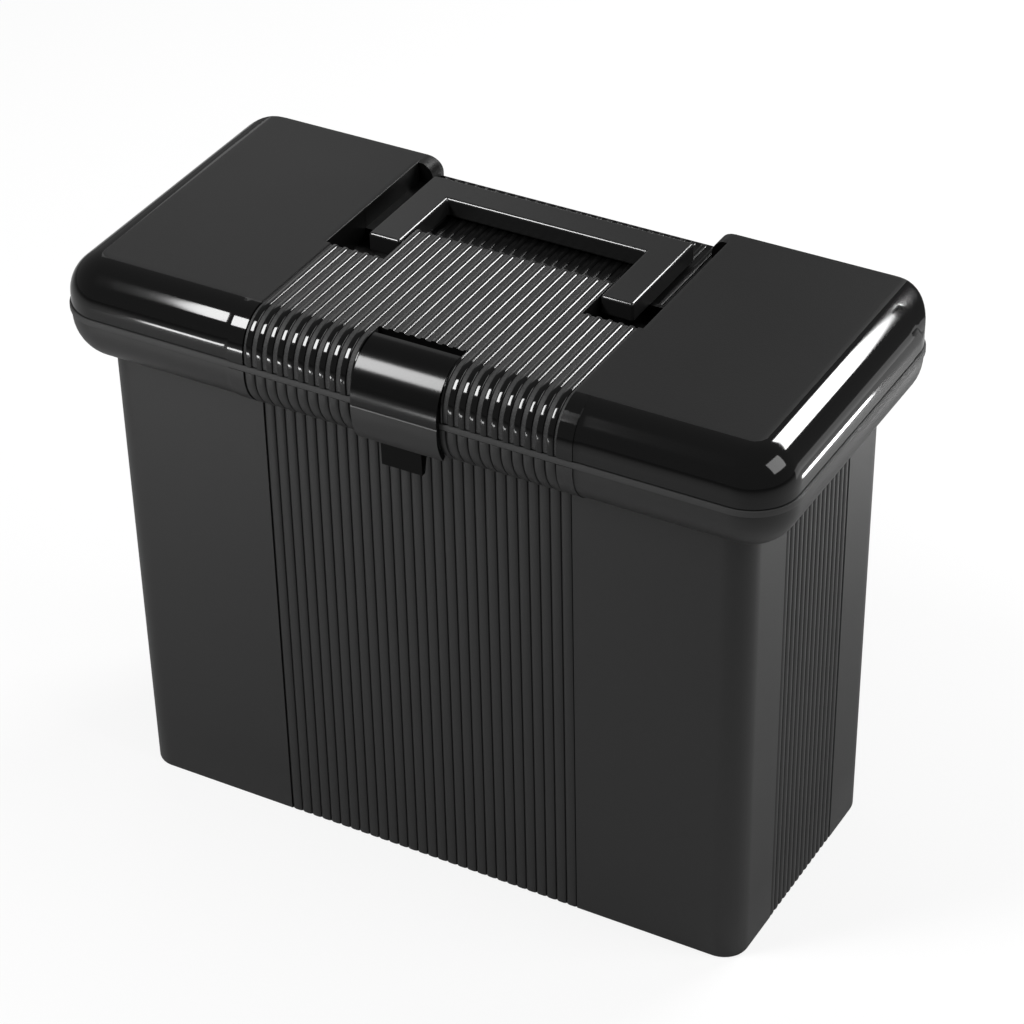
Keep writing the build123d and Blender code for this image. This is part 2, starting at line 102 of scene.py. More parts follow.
# -- finishes
@dataclass(frozen=True)
class Graph:
    """Node tree with short ways to add its nodes and join their sockets."""

    tree: NodeTree

    def feed(self, socket: NodeSocket, value: object) -> None:
        """Join a socket to another one, or set its plain value."""
        if isinstance(value, NodeSocket):
            self.tree.links.new(value, socket)
        else:
            socket.default_value = value

    def add(
        self, kind: str, inputs: dict | tuple = (), output: int | str = 0, **settings: str
    ) -> NodeSocket:
        """Add a node and feed its inputs.

        Args:
            kind: Type of the node.
            inputs: Sockets or plain values, by name or number, or in order.
            output: Output to return.
            settings: Properties of the node, such as its operation.

        Returns:
            The chosen output.
        """
        node = self.tree.nodes.new(kind)
        for name, value in settings.items():
            setattr(node, name, value)
        for key, value in inputs.items() if isinstance(inputs, dict) else enumerate(inputs):
            self.feed(node.inputs[key], value)
        return node.outputs[output]

    def math(self, operation: str, *inputs: object) -> NodeSocket:
        """Add a math node and return its result."""
        return self.add("ShaderNodeMath", inputs, operation=operation)

    def vector(self, operation: str, *inputs: object) -> NodeSocket:
        """Add a vector math node and return its vector."""
        return self.add("ShaderNodeVectorMath", inputs, operation=operation)

    def remap(self, value: NodeSocket, **limits: float) -> NodeSocket:
        """Map a value to another range, with limits such as to_min."""
        named = {name.replace("_", " ").title(): limit for name, limit in limits.items()}
        return self.add("ShaderNodeMapRange", {"Value": value} | named)

    def mix(self, factor: object, low: object, high: object, kind: str) -> NodeSocket:
        """Blend two numbers (FLOAT) or two colours (RGBA)."""
        inputs = {"Factor": factor, "A": low, "B": high}
        return self.add("ShaderNodeMix", inputs, "Result", data_type=kind)


@dataclass(frozen=True)
class Edge:
    """Rounded rectangle in plan, in millimetres, outside which a finish turns glossy."""

    half_x: float
    half_y: float
    middle_y: float
    radius: float
    grey: float
    rough: float
    blur: float = 0.15

    def mask(self, graph: Graph, place: NodeSocket) -> NodeSocket:
        """Socket that is 0 inside the rectangle and 1 outside it."""
        inner = ((self.half_x - self.radius) * MM, (self.half_y - self.radius) * MM, 1)
        spot = graph.vector("SUBTRACT", place, (0, self.middle_y * MM, 0))
        beyond = graph.vector("SUBTRACT", graph.vector("ABSOLUTE", spot), inner)
        beyond = graph.vector("MAXIMUM", beyond, (0, 0, 0))
        length = graph.add("ShaderNodeVectorMath", (beyond,), "Value", operation="LENGTH")
        start, end = (self.radius - self.blur) * MM, (self.radius + self.blur) * MM
        return graph.remap(length, from_min=start, from_max=end)


@dataclass(frozen=True)
class Finish:
    """Black moulded plastic or plain metal, with a fine surface texture."""

    name: str
    grey: float
    rough: float
    specular: float = 0.5
    grain: float = 0.0
    grain_size: float = 0.6
    speckle: float = 0.0
    metallic: float = 0.0
    edge: Edge | None = None

    def material(self) -> Material:
        """Return the node-based material, making it the first time."""
        return bpy.data.materials.get(self.name) or self.build()

    def build(self) -> Material:
        """Make the node-based material."""
        material = bpy.data.materials.new(self.name)
        material.use_nodes = True
        graph = Graph(material.node_tree)
        shader = material.node_tree.nodes["Principled BSDF"].inputs
        shader["Metallic"].default_value = self.metallic
        shader["Specular IOR Level"].default_value = self.specular
        place = graph.add("ShaderNodeTexCoord", output="Object")
        broad = graph.add("ShaderNodeTexNoise", {"Vector": place, "Scale": 14.0, "Detail": 3.0})
        scale = 1000.0 / self.grain_size
        fine = graph.add("ShaderNodeTexNoise", {"Vector": place, "Scale": scale, "Detail": 2.0})
        colour = graph.remap(broad, to_min=self.grey * 0.88, to_max=self.grey * 1.12)
        sheen = graph.remap(broad, to_min=self.rough * 0.92, to_max=min(self.rough * 1.08, 1.0))
        if self.speckle:
            low, high = 1.0 - self.speckle, 1.0 + self.speckle
            flecks = graph.remap(fine, from_min=0.35, from_max=0.65, to_min=low, to_max=high)
            colour = graph.math("MULTIPLY", colour, flecks)
        strength = self.grain
        if self.edge:
            mask = self.edge.mask(graph, place)
            colour = graph.mix(mask, colour, self.edge.grey, "FLOAT")
            sheen = graph.mix(mask, sheen, self.edge.rough, "FLOAT")
            strength = graph.remap(mask, to_min=self.grain, to_max=0.0)
        graph.feed(shader["Base Color"], colour)
        graph.feed(shader["Roughness"], sheen)
        if self.grain:
            relief = {"Strength": strength, "Distance": 0.0002, "Height": fine}
            graph.feed(shader["Normal"], graph.add("ShaderNodeBump", relief))
        return material

    def paint(self, obj: Object) -> None:
        """Make this the only material of an object."""
        obj.data.materials.clear()
        obj.data.materials.append(self.material())

    def paint_where(self, obj: Object, test: Callable[[Vector, Vector], bool]) -> None:
        """Use this material on the faces whose centre (in millimetres) and normal pass a test."""
        obj.data.materials.append(self.material())
        slot = len(obj.data.materials) - 1
        for face in obj.data.polygons:
            if test(face.center / MM, face.normal):
                face.material_index = slot


TOP_EDGE = Edge(half_x=161.5, half_y=90.0, middle_y=25.0, radius=6.0, grey=0.002, rough=0.07)
TOP_SATIN = Finish("top_satin", 0.006, 0.45, specular=0.42, grain=0.25, edge=TOP_EDGE)
WALL_SATIN = Finish("wall_satin", 0.010, 0.45, grain=0.2)
# painted shade: a darker grey for the tub's reed grooves, where shade falls
GROOVE_PAINTED_SHADE = Finish("groove_painted_shade", 0.003, 0.5, specular=0.2)
# painted highlight: a lighter grey for the rim's bead, where its edge catches the light
BEAD_PAINTED_HIGHLIGHT = Finish("bead_painted_highlight", 0.034, 0.55)
# painted shade: a dark, weakly reflecting grey for the lid's well, slot and inside, where shade
# falls
WELL_PAINTED_SHADE = Finish("well_painted_shade", 0.002, 0.4, specular=0.2)
HANDLE_SATIN = Finish("handle_satin", 0.009, 0.4, grain=0.12)
VALLEY_MATTE = Finish("valley_matte", 0.026, 0.6, grain=0.5, speckle=0.5)
CREST_GLOSS = Finish("crest_gloss", 0.016, 0.12)
LID_GLOSS = Finish("lid_gloss", 0.002, 0.07, specular=0.42)
LATCH_GLOSS = Finish("latch_gloss", 0.002, 0.17, specular=0.3)
# painted shade: a near-black, barely reflecting grey for the latch's pull tab, which hangs in shade
# below the rim's roll
TAB_PAINTED_SHADE = Finish("tab_painted_shade", 0.001, 0.35, specular=0.08)
PIN_STEEL = Finish("pin_steel", 0.5, 0.3, metallic=1.0)


# -- mesh helpers
# attributes that the reed tool reads from the points: how many numbers, and the plain value
REED_LAYERS = {"reed_across": (1, 0.0), "reed_inward": (3, 0.0), "reed_flatness": (1, 1.0)}
WELD = 0.0005
SHARP_ANGLE = math.radians(32)


def looped(values: Array) -> Array:
    """Values round a ring, with the first ones repeated at the end."""
    return np.concatenate([values, values[:1]])


def middles(points: Array) -> Array:
    """Middle of each quad of a grid of points."""
    return (points[:-1, :-1] + points[1:, 1:]) / 2


def mirrored(values: Iterable[float]) -> list[float]:
    """Values together with their negatives."""
    return [side * value for value in values for side in (-1, 1)]


@dataclass
class Sheet:
    """Collects patches of quads and turns them into one welded, outward-facing mesh."""

    points: list = field(default_factory=list)
    layers: dict = field(default_factory=lambda: {name: [] for name in REED_LAYERS})
    quads: list = field(default_factory=list)
    zones: list = field(default_factory=list)
    size: int = 0

    def add_grid(
        self,
        points: Array,
        zone: Array | Zone = Zone.SATIN,
        across: Array | None = None,
        inward: Array | None = None,
        flatness: Array | None = None,
        closed: bool = False,
    ) -> None:
        """Add a grid of points joined by quads.

        Args:
            points: Array of shape (columns, rows, 3).
            zone: One finish, or an array of zone values per quad.
            across: Coordinate across the reeds, per point.
            inward: Direction in which the reeds' grooves sink, per point.
            flatness: Factor that makes the reeds' crests flatter, per point.
            closed: Whether the last column joins the first.
        """
        columns, rows = points.shape[:2]
        index = np.arange(columns * rows).reshape(columns, rows) + self.size
        if closed:
            index = looped(index)
        corners = np.stack([index[:-1, :-1], index[1:, :-1], index[1:, 1:], index[:-1, 1:]], -1)
        values = np.full(corners.shape[:2], zone.value) if isinstance(zone, Zone) else zone
        self.points.append(points.reshape(-1, 3))
        for name, given in zip(REED_LAYERS, (across, inward, flatness)):
            width, plain = REED_LAYERS[name]
            layer = np.full(columns * rows * width, plain) if given is None else given
            self.layers[name].append(layer.reshape(-1, width))
        self.quads.append(corners.reshape(-1, 4))
        self.zones.append(values.reshape(-1))
        self.size += columns * rows

    def add_cap(self, loop: Array, zone: Zone = Zone.SATIN) -> None:
        """Close a ring of points with a fan of triangles about its centre."""
        centre = np.broadcast_to(loop.mean(0), loop.shape)
        self.add_grid(np.stack([loop, centre], 1), zone, closed=True)

    def build(self, name: str) -> Object:
        """Weld the patches and link the finished object.

        Args:
            name: Name of the new object.

        Returns:
            The object, at the origin, with the reeds' attributes on its points.
        """
        points = np.concatenate(self.points)
        cells = np.round(points / WELD).astype(np.int64)
        _, first, remap = np.unique(cells, axis=0, return_index=True, return_inverse=True)
        quads = remap.reshape(-1)[np.concatenate(self.quads)]
        faces, kept = [], []
        for quad, zone in zip(quads.tolist(), np.concatenate(self.zones).tolist()):
            ring = [v for i, v in enumerate(quad) if v != quad[i - 1]]
            if len(ring) > 2 and len(set(ring)) == len(ring):
                faces.append(ring)
                kept.append(zone)
        mesh = bpy.data.meshes.new(name)
        mesh.from_pydata((points[first] * MM).tolist(), [], faces)
        mesh.attributes.new("zone", "INT", "FACE").data.foreach_set("value", kept)
        for label, parts in self.layers.items():
            values = np.concatenate(parts)[first].astype(np.float32)
            kind, key = ("FLOAT", "value") if values.shape[1] == 1 else ("FLOAT_VECTOR", "vector")
            mesh.attributes.new(label, kind, "POINT").data.foreach_set(key, values.reshape(-1))
        return finish_mesh(name, mesh)


def finish_mesh(name: str, mesh: Mesh) -> Object:
    """Turn a mesh's faces outward, shade it smooth and link it as an object."""
    work = bmesh.new()
    work.from_mesh(mesh)
    bmesh.ops.recalc_face_normals(work, faces=work.faces)
    work.to_mesh(mesh)
    work.free()
    mesh.shade_smooth()
    mesh.set_sharp_from_angle(angle=SHARP_ANGLE)
    obj = bpy.data.objects.new(name, mesh)
    bpy.context.scene.collection.objects.link(obj)
    return obj


def add_modifier(obj: Object, kind: str, **settings: object) -> None:
    """Add a modifier with its settings."""
    modifier = obj.modifiers.new(kind.lower(), kind)
    for name, value in settings.items():
        setattr(modifier, name, value)


def bake(obj: Object, shade: bool = True) -> None:
    """Replace an object's mesh with its evaluated one and drop its modifiers.

    Args:
        obj: Object to bake.
        shade: Whether to shade it anew; otherwise its evaluated normals stay.
    """
    bpy.context.view_layer.update()
    graph = bpy.context.evaluated_depsgraph_get()
    baked = bpy.data.meshes.new_from_object(obj.evaluated_get(graph))
    old = obj.data
    obj.modifiers.clear()
    obj.data = baked
    bpy.data.meshes.remove(old)
    baked.name = obj.name
    if shade:
        baked.shade_smooth()
        baked.set_sharp_from_angle(angle=SHARP_ANGLE)


def profile_solid(name: str, outline: list[Point2], x_low: float, x_high: float) -> Object:
    """Extrude a closed side-view outline of (y, z) points between two X values."""
    mesh = bpy.data.meshes.new(name)
    count = len(outline)
    points = [(x * MM, y * MM, z * MM) for x in (x_low, x_high) for y, z in outline]
    sides = [(i, (i + 1) % count, (i + 1) % count + count, i + count) for i in range(count)]
    mesh.from_pydata(points, [], sides + [tuple(range(count)), tuple(range(count, 2 * count))])
    return finish_mesh(name, mesh)


def box_solid(name: str, low: Point3, high: Point3) -> Object:
    """Make a plain block between two corners, for use in a boolean."""
    outline = [(low[1], low[2]), (high[1], low[2]), (high[1], high[2]), (low[1], high[2])]
    return profile_solid(name, outline, low[0], high[0])


def arc(centre: Point2, radius: float, start: float, end: float, steps: int) -> list[Point2]:
    """Points of an arc in (y, z), with its angles in degrees from +y."""
    angles = np.radians(np.linspace(start, end, steps + 1))
    return [(centre[0] + radius * math.cos(a), centre[1] + radius * math.sin(a)) for a in angles]


def combine(target: Object, tools: list[Object], operation: str) -> None:
    """Apply exact booleans of the tools to the target and delete the tools."""
    for tool in tools:
        add_modifier(target, "BOOLEAN", operation=operation, solver="EXACT", object=tool)
    bake(target)
    for tool in tools:
        bpy.data.objects.remove(tool)


def soften(obj: Object, width: float, steps: int = 3) -> None:
    """Round an object's sharp edges by a width in millimetres."""
    add_modifier(
        obj, "BEVEL", width=width * MM, segments=steps, limit_method="ANGLE",
        angle_limit=math.radians(30), use_clamp_overlap=True,
    )
    bake(obj)
    settle(obj)


def settle(obj: Object) -> None:
    """Let the broad faces keep flat shading beside their softened edges."""
    add_modifier(obj, "WEIGHTED_NORMAL", keep_sharp=True, weight=100)
    bake(obj, shade=False)


# -- reeds
# how far past the band's edge a mesh line still counts as part of it
BAND_MARGIN = 0.2
LINE_GAP = 0.012
REED_NUMBERS = ("Pitch", "Count", "Depth", "Crest", "Fullness", "Shoulder")


@dataclass(frozen=True)
class ReedTool:
    """Geometry Nodes tool that sinks the grooves of a reeded band into a mesh."""

    pitch: float
    count: int
    depth: float
    style: ReedStyle

    def tree(self) -> NodeTree:
        """Build the node tree with its named inputs."""
        group = bpy.data.node_groups.new("reed_tool", "GeometryNodeTree")
        sockets = [("Geometry", "Geometry")] + [(label, "Float") for label in REED_NUMBERS]
        for label, kind in sockets + [(zone.name, "Material") for zone in Zone]:
            group.interface.new_socket(label, in_out="INPUT", socket_type=f"NodeSocket{kind}")
        group.interface.new_socket("Geometry", in_out="OUTPUT", socket_type="NodeSocketGeometry")
        graph = Graph(group)
        given = group.nodes.new("NodeGroupInput").outputs
        calc = graph.math

        def attribute(name: str, kind: str) -> NodeSocket:
            """Read one of the mesh's attributes."""
            inputs = {"Name": name}
            return graph.add("GeometryNodeInputNamedAttribute", inputs, "Attribute", data_type=kind)

        pitches = calc("DIVIDE", attribute("reed_across", "FLOAT"), given["Pitch"])
        along = calc("ADD", pitches, calc("DIVIDE", given["Count"], 2.0))
        offset = calc("ABSOLUTE", calc("SUBTRACT", calc("FRACT", along), 0.5))
        share = calc("MINIMUM", calc("DIVIDE", offset, given["Crest"]), 1.0)
        power = calc("MULTIPLY", given["Fullness"], attribute("reed_flatness", "FLOAT"))
        fall = calc("POWER", share, power)
        height = calc("POWER", calc("SUBTRACT", 1.0, fall), given["Shoulder"])
        after = calc("GREATER_THAN", along, -0.02)
        before = calc("LESS_THAN", along, calc("ADD", given["Count"], 0.02))
        drop = calc("MULTIPLY", calc("SUBTRACT", 1.0, height), calc("MULTIPLY", after, before))
        drop = calc("MULTIPLY", drop, given["Depth"])
        sink = {0: attribute("reed_inward", "FLOAT_VECTOR"), "Scale": drop}
        offset = graph.add("ShaderNodeVectorMath", sink, operation="SCALE")
        move = {"Geometry": given["Geometry"], "Offset": offset}
        last = graph.add("GeometryNodeSetPosition", move)
        last = graph.add("GeometryNodeRealizeInstances", (last,))
        zones = attribute("zone", "INT")
        for zone in Zone:
            inputs = {"Geometry": last, "Material": given[zone.name]}
            if zone is not Zone.SATIN:
                pair = {2: zones, 3: zone.value}
                inputs["Selection"] = graph.add(
                    "FunctionNodeCompare", pair, data_type="INT", operation="EQUAL"
                )
            last = graph.add("GeometryNodeSetMaterial", inputs)
        graph.feed(group.nodes.new("NodeGroupOutput").inputs["Geometry"], last)
        return group

    def apply(self, obj: Object, finishes: dict[Zone, Finish]) -> None:
        """Cut the reeds into an object, give each zone its finish and bake it.

        Args:
            obj: Object whose mesh carries the reeds' attributes and its zones.
            finishes: Finish of each zone.
        """
        group = self.tree()
        modifier = obj.modifiers.new("reeds", "NODES")
        modifier.node_group = group
        numbers = (self.pitch, float(self.count), self.depth * MM, *self.style.curve)
        values = dict(zip(REED_NUMBERS, numbers))
        values |= {zone.name: finish.material() for zone, finish in finishes.items()}
        for item in group.interface.items_tree:
            if item.name in values:
                modifier[item.identifier] = values[item.name]
        bake(obj)
        bpy.data.node_groups.remove(group)


def reed_lines(pitch: float, count: int, style: ReedStyle) -> list[float]:
    """Places of the mesh lines across a centred band of reeds."""
    centres = (np.arange(count) - (count - 1) / 2) * pitch
    shares = [-0.5, 0.0, *mirrored(style.half_lines)]
    lines = [centre + share * pitch for centre in centres for share in shares]
    edge = count * pitch / 2
    return lines + [edge, -edge - 0.35, edge + 0.35]


def merge_lines(*groups: list[float]) -> Array:
    """Sort several lists of mesh lines into one, without near repeats."""
    lines = np.sort(np.concatenate([np.asarray(g, float) for g in groups]))
    keep = np.concatenate([[True], np.diff(lines) > LINE_GAP])
    return lines[keep]


# -- section lines round the box
REACH_RANGE = (-12.0, 40.0)
REACH_HALVINGS = 46


@dataclass
class Ring:
    """Section lines set round the box, each with its place and outward direction."""

    origin: Array
    outward: Array

    @classmethod
    def around(cls, x_lines: Array, y_lines: Array) -> "Ring":
        """Go round from the front left, with lines on the sides and fans at the corners."""
        origin, outward = [], []
        turn = np.radians(np.linspace(0, 90, CORNER_STEPS + 1)[1:-1])
        sides = (
            (x_lines, (0, -1), (1, -1)),
            (y_lines, (1, 0), (1, 1)),
            (x_lines[::-1], (0, 1), (-1, 1)),
            (y_lines[::-1], (-1, 0), (-1, -1)),
        )
        for lines, normal, corner in sides:
            for value in lines:
                on_x = normal[0] == 0
                origin.append((value, normal[1] * CORE_Y) if on_x else (normal[0] * CORE_X, value))
                outward.append(normal)
            start = math.atan2(normal[1], normal[0])
            for angle in turn:
                origin.append((corner[0] * CORE_X, corner[1] * CORE_Y))
                outward.append((math.cos(start + angle), math.sin(start + angle)))
        return cls(np.array(origin, float), np.array(outward, float))

    def tilt(self, out: Array, up: Array) -> Array:
        """Vectors from outward and upward parts, of shape (columns, rows, 3)."""
        flat = self.outward[:, None, :] * out[:, :, None]
        return np.concatenate([flat, up[:, :, None]], -1)

    def place(self, reach: Array, height: Array) -> Array:
        """Points at given distances and heights, of shape (columns, rows, 3)."""
        return np.pad(self.origin, ((0, 0), (0, 1)))[:, None, :] + self.tilt(reach, height)

    def reach_to(self, half_x: Array | float, half_y: Array | float, radius: float) -> Array:
        """Distance along each section line to a rounded rectangle."""
        low, high = (np.full(len(self.origin), limit) for limit in REACH_RANGE)
        for _ in range(REACH_HALVINGS):
            middle = (low + high) / 2
            spot = np.abs(self.origin + self.outward * middle[:, None])
            x, y = spot[:, 0] - half_x + radius, spot[:, 1] - half_y + radius
            gap = np.hypot(np.maximum(x, 0), np.maximum(y, 0)) + np.minimum(np.maximum(x, y), 0)
            outside = gap > radius
            high, low = np.where(outside, middle, high), np.where(outside, low, middle)
        return (low + high) / 2


def panel_share(x: Array) -> Array:
    """How far the raised panel stands at x, from 1 on the panel to 0 on the plain roll."""
    beyond = np.clip((np.abs(x) - PANEL_EDGE[0]) / 3.0, 0, 1)
    return np.where(np.abs(x) < PANEL_EDGE[0] + 0.05, 1.0, 0.3 * (1 - beyond) ** 2)


# -- tub
WALL_HEIGHTS = (1.2, 30, 60, 90, 120, 150, 180, 205, 222)
ROLL_STEPS = 14
INNER_STEPS = 8
GROOVE_SHARE = 0.43


@dataclass
class Tub:
    """Deep tub with leaning, reeded walls under a rolled rim."""

    base_half_x: float = 157.0
    base_half_y: float = 67.3
    wall_corner: float = 12.0
    lean: float = 0.008343
    roll_z: float = RIM_ROLL_Z
    bead_height: float = 3.0
    bead_proud: float = 0.8
    floor_z: float = 3.0
    end_pitch: float = 4.5
    end_count: int = 14
    end_flatness: float = 0.6
    rail_z: Point2 = (230.6, 246.5)
    rail_half: Point2 = (1.3, 54.0)

    def wall_reach(self, ring: Ring, z: Array | float, inset: float) -> Array:
        """Distance of the wall from each section line's origin at a height."""
        half_x = self.base_half_x + self.lean * z - inset
        half_y = self.base_half_y + self.lean * z - inset
        return ring.reach_to(half_x, half_y, self.wall_corner - inset)

    def seam(self, ring: Ring, panel: Array, inset: float) -> tuple[Array, Array]:
        """Reach and height where the wall meets the underside of the roll."""
        radius = RIM_CORNER - inset
        z = np.full(len(ring.origin), self.roll_z - 20.0)
        for _ in range(12):
            reach = self.wall_reach(ring, z, inset)
            z = self.roll_z - np.sqrt(radius**2 - (reach - panel) ** 2)
        return reach, z

    def ring(self) -> Ring:
        """Section lines round the tub, close together where it is reeded or turns."""
        corner_x = (92, 105, 118, 131, 140, 144, 146, 148, 150, 152, 153.6, CORE_X)
        corner_y = (36, 44, 51, 54.5, 55.8, 57, 58.4, CORE_Y)
        front = reed_lines(REED_PITCH, REED_COUNT, ReedStyle.CUSHION)
        end = reed_lines(self.end_pitch, self.end_count, ReedStyle.CUSHION)
        x_lines = merge_lines(front, mirrored(PANEL_EDGE), mirrored(corner_x))
        return Ring.around(x_lines, merge_lines(end, mirrored(corner_y)))

    def shell(self) -> Object:
        """Mesh of the tub: outer walls, roll, bead, mouth, inside and floor."""
        ring = self.ring()
        count = len(ring.origin)
        on_front = ring.outward[:, 1] == -1
        on_end = np.abs(ring.outward[:, 0]) == 1
        panel = np.where(on_front, self.bead_proud * panel_share(ring.origin[:, 0]), 0.0)
        seam_reach, seam_z = self.seam(ring, panel, 0.0)
        rows: list[list[Array]] = []

        def row(
            reach: Array, z: object, out: object = 0.0, up: object = 0.0, reeded: object = 0.0
        ) -> None:
            """Add one row of the section, with the way its reeds sink."""
            rows.append([np.broadcast_to(value, count) for value in (reach, z, out, up, reeded)])

        end_band = np.abs(ring.origin[:, 1]) < self.end_pitch * self.end_count / 2 + 0.02
        on_side = np.abs(ring.outward[:, 1]) == 1
        banded = (on_side | (on_end & end_band)).astype(float)
        foot = self.wall_reach(ring, 0.0, 0.0)
        row(foot - 1.6, 0.0)
        row(foot - 0.9, 0.0, -1.0, 0.0, banded)
        row(foot - 0.25, 0.35, -1.0, 0.0, banded)
        for z in WALL_HEIGHTS:
            row(self.wall_reach(ring, float(z), 0.0), float(z), -1.0, 0.0, banded)
        lean = seam_reach - panel
        root = np.sqrt(RIM_CORNER**2 - lean**2)
        row(seam_reach, seam_z, -1.0, np.where(on_front, RIM_CORNER - lean, -lean) / root, banded)
        start = np.arcsin(lean / RIM_CORNER)
        front = on_front.astype(float)
        for step in range(1, ROLL_STEPS + 1):
            angle = start + (math.pi / 2 - start) * step / ROLL_STEPS
            out, up = np.sin(angle), np.cos(angle)
            row(panel + RIM_CORNER * out, self.roll_z - RIM_CORNER * up, -out, up, front)
        bead_z = PARTING_Z - self.bead_height
        proud = RIM_CORNER + self.bead_proud
        row(RIM_CORNER + panel, bead_z - 0.12, -1.0, 0.0, front)
        mouth = (
            (proud - 0.35, bead_z), (proud - 0.08, bead_z + 0.12), (proud, bead_z + 0.4),
            (proud, PARTING_Z - 0.5), (proud - 0.12, PARTING_Z - 0.15), (proud - 0.45, PARTING_Z),
            (RIM_CORNER - SKIN + 0.3, PARTING_Z), (RIM_CORNER - SKIN, PARTING_Z - 0.3),
        )
        for reach, z in mouth:
            row(np.full(count, reach), z)
        inner_reach, _ = self.seam(ring, np.zeros(count), SKIN)
        inner_radius = RIM_CORNER - SKIN
        inner_start = np.arcsin(inner_reach / inner_radius)
        for step in range(INNER_STEPS, -1, -1):
            angle = inner_start + (math.pi / 2 - inner_start) * step / INNER_STEPS
            row(inner_radius * np.sin(angle), self.roll_z - inner_radius * np.cos(angle))
        for z in (120.0, self.floor_z + 3):
            row(self.wall_reach(ring, z, SKIN), z)
        inner_foot = self.wall_reach(ring, self.floor_z, SKIN)
        row(inner_foot - 0.8, self.floor_z + 0.8)
        row(inner_foot - 3.0, self.floor_z)

        reach, z, out, up, weight = (np.stack(part, 1) for part in zip(*rows))
        points = ring.place(reach, z)
        inward = ring.tilt(out, up) * weight[:, :, None]
        # the ends' own pitch and count, in terms of the front's, so that one tool cuts both
        end_place = ring.origin[:, 1] / self.end_pitch + self.end_count / 2 - REED_COUNT / 2
        across = np.where(on_end, end_place * REED_PITCH, ring.origin[:, 0])
        across = np.repeat(across[:, None], len(rows), 1)
        flatness = np.repeat(np.where(on_end, self.end_flatness, 1.0)[:, None], len(rows), 1)
        zones = self.zones(across, weight, reach, z)
        sheet = Sheet()
        sheet.add_grid(points, zones, across, inward, flatness, closed=True)
        sheet.add_cap(points[:, 0])
        sheet.add_cap(points[:, -1])
        return sheet.build("tub_shell")

    def zones(self, across: Array, weight: Array, reach: Array, z: Array) -> Array:
        """Zone values of the quads: grooves darkened with painted shade, a bead lightened with a
        painted highlight and satin elsewhere.
        """
        place = ((across + np.roll(across, -1, 0)) / 2)[:, :-1] / REED_PITCH + REED_COUNT / 2
        both = weight * np.roll(weight, -1, 0)
        # painted shade: quads on the grooves' sides take the darker groove grey
        groove = (np.abs(place % 1 - 0.5) > GROOVE_SHARE) & (both[:, :-1] * both[:, 1:] > 0)
        groove &= (place > -0.1) & (place < REED_COUNT + 0.1)
        # painted highlight: the bead's quads take the lighter bead grey
        bead = (reach[:, :-1] > RIM_CORNER + 0.3) & (reach[:, 1:] > RIM_CORNER + 0.3)
        bead &= z[:, :-1] > PARTING_Z - self.bead_height - 0.05
        zones = np.where(bead, Zone.CREST.value, Zone.SATIN.value)
        return np.where(groove, Zone.VALLEY.value, zones)

    def rails(self) -> Object:
        """Rails inside both ends that the hooks of hanging folders ride on."""
        middle = self.base_half_x + self.lean * 229.4 - SKIN / 2
        (half_x, half_y), (low, high) = self.rail_half, self.rail_z
        right, left = (
            box_solid("folder_rails", (x - half_x, -half_y, low), (x + half_x, half_y, high))
            for x in (middle, -middle)
        )
        combine(right, [left], "UNION")
        soften(right, 0.5)
        return right

    def build(self) -> list[Object]:
        """Make the tub's pieces."""
        shell = self.shell()
        tool = ReedTool(REED_PITCH, REED_COUNT, REED_DEPTH, ReedStyle.CUSHION)
        # the grooves take painted shade and the bead a painted highlight
        finishes = (WALL_SATIN, WALL_SATIN, GROOVE_PAINTED_SHADE, BEAD_PAINTED_HIGHLIGHT, WALL_SATIN)
        tool.apply(shell, dict(zip(Zone, finishes)))
        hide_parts("tub")
        pieces = [shell, self.rails(), Hinge().knuckles("tub_knuckles", -1)]
        for piece in pieces[1:]:
            WALL_SATIN.paint(piece)
        for piece in pieces:
            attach(piece, "tub_body")
        return pieces


@dataclass
class Hinge:
    """Pin hinges on the back of the mouth."""

    station: float = 112.0
    axis_y: float = 82.0
    axis_z: float = PARTING_Z
    barrel: float = 3.3
    web: float = 11.0
    web_depth: float = 2.35
    pin: float = 1.6
    play: float = 0.05

    def outline(self, side: int) -> list[Point2]:
        """Side view of a knuckle, with its web going up or down the back of the box."""
        back, z = self.axis_y + self.barrel, self.axis_z
        low, inner = z + side * self.web, BACK_Y - self.web_depth
        turn = arc((self.axis_y, z), self.barrel, 180, 0 if side < 0 else 360, 16)
        return turn + [(back, z + side * self.web / 4), (BACK_Y, low), (inner, low), (inner, z)]

    def knuckles(self, name: str, side: int) -> Object:
        """Make the tub's pairs of knuckles (side -1) or the lid's single ones (side 1)."""
        spans = [(-6.0, 6.0)] if side > 0 else [(-16.5, -6.5), (6.5, 16.5)]
        solids = [
            profile_solid(name if i + j == 0 else "knuckle", self.outline(side), x + low, x + high)
            for i, x in enumerate((-self.station, self.station))
            for j, (low, high) in enumerate(spans)
        ]
        combine(solids[0], solids[1:], "UNION")
        radius = self.pin if side < 0 else self.pin + self.play
        bore = profile_solid("bore", arc((self.axis_y, self.axis_z), radius, 0, 350, 35), -140, 140)
        combine(solids[0], [bore], "DIFFERENCE")
        soften(solids[0], 0.35)
        return solids[0]


